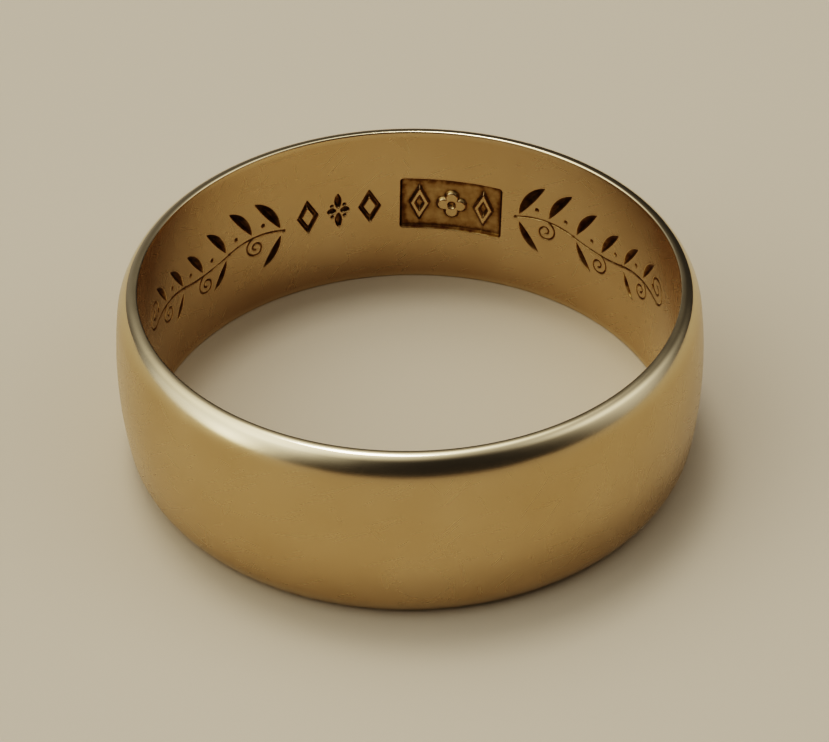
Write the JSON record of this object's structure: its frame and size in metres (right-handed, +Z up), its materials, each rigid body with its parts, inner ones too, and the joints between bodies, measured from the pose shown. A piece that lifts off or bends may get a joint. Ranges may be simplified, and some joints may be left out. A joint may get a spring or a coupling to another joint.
{
  "type": "wedding band",
  "caption": "Plain gold finger ring with a low domed outside, a straight polished bore and small stamped and engraved ornament inside",
  "frame": {"origin": "middle of the lower edge's plane, on the bore's axis, where the band rests on a table", "axes": "+Z up along the bore's axis, +Y toward the left end of the stamped panel inside the back of the wall, +X toward the side where the right spray ends"},
  "size_m": [0.0218, 0.0218, 0.007],
  "materials": {
    "gold": "gloss"
  },
  "bodies": {
    "root": {"band": "gold"}
  },
  "joints": []
}
